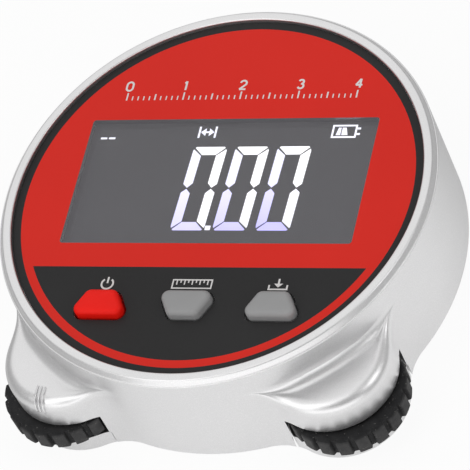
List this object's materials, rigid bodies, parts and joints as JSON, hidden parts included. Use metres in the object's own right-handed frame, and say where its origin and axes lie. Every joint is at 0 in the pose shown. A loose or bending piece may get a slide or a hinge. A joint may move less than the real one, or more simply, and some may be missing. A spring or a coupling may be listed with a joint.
{
  "type": "digital plan measurer",
  "caption": "Round handheld rolling distance gauge: silver drum case with red face, display window and press keys, block-tread rubber wheels in lobes at the lower edge, battery door behind.",
  "frame": {"origin": "middle of the part's box on the plane that the back rests on", "axes": "+Z out of the face, -Y towards the wheels, +X to the right as the display is read"},
  "size_m": [0.0732, 0.0752, 0.0215],
  "materials": {
    "case_silver": "satin silver moulded plastic",
    "label_red": "printed red film, satin",
    "label_charcoal": "printed charcoal film, satin",
    "window_smoke": "clear smoked window",
    "display_film": "dark grey polariser film",
    "display_glass": "display glass",
    "white_plastic": "white reflector plastic",
    "lamp_white": "white lamp and lit display segments",
    "connector_rubber": "pale pink elastomer",
    "board_green": "solder resist over glass laminate",
    "black_plastic": "black moulded plastic",
    "key_red": "red moulded key",
    "key_grey": "grey moulded key",
    "tyre_black": "black moulded rubber",
    "steel": "plated steel",
    "cell_wrap": "printed cell sleeve"
  },
  "bodies": {
    "case": {"front_housing": "case_silver", "back_cover": "case_silver", "face_label": "label_red", "label_ring": "label_charcoal", "key_panel": "label_charcoal", "display_window": "window_smoke", "polariser": "display_film", "lcd_glass": "display_glass", "light_guide": "white_plastic", "display_frame": "white_plastic", "backlight_lamps": "lamp_white", "connector_strips": "connector_rubber", "main_board": "board_green", "controller_chip": "black_plastic", "key_switches": "black_plastic", "photo_interrupter": "black_plastic", "contact_springs": "steel", "plus_contact": "steel", "minus_contact": "steel", "bridge_contact": "steel", "case_screws": "steel", "board_screws": "steel", "cell_lower": "cell_wrap", "cell_upper": "cell_wrap"},
    "left_wheel": {"left_tyre": "tyre_black", "left_hub": "black_plastic", "left_axle": "steel"},
    "right_wheel": {"right_tyre": "tyre_black", "right_hub": "black_plastic", "right_axle": "steel", "encoder_disc": "black_plastic"},
    "power_key_body": {"power_key": "key_red"},
    "unit_key_body": {"unit_key": "key_grey"},
    "memory_key_body": {"memory_key": "key_grey"},
    "door": {"battery_door": "case_silver"}
  },
  "joints": [
    {"name": "left_wheel_spin", "type": "hinge", "parent": "case", "child": "left_wheel", "pos_m": [-0.02388, -0.02753, 0.0056], "axis": [0, 0, 1], "continuous": true},
    {"name": "right_wheel_spin", "type": "hinge", "parent": "case", "child": "right_wheel", "pos_m": [0.02388, -0.02753, 0.0056], "axis": [0, 0, 1], "continuous": true},
    {"name": "power_press", "type": "slide", "parent": "case", "child": "power_key_body", "axis": [0, 0, -1], "range_m": [0, 0.0005], "stiffness_N_per_m": 1500},
    {"name": "unit_press", "type": "slide", "parent": "case", "child": "unit_key_body", "axis": [0, 0, -1], "range_m": [0, 0.0005], "stiffness_N_per_m": 1500},
    {"name": "memory_press", "type": "slide", "parent": "case", "child": "memory_key_body", "axis": [0, 0, -1], "range_m": [0, 0.0005], "stiffness_N_per_m": 1500},
    {"name": "door_swing", "type": "hinge", "parent": "case", "child": "door", "pos_m": [0, 0.01513, 0.0007], "axis": [1, 0, 0], "range_deg": [0, 50]}
  ]
}
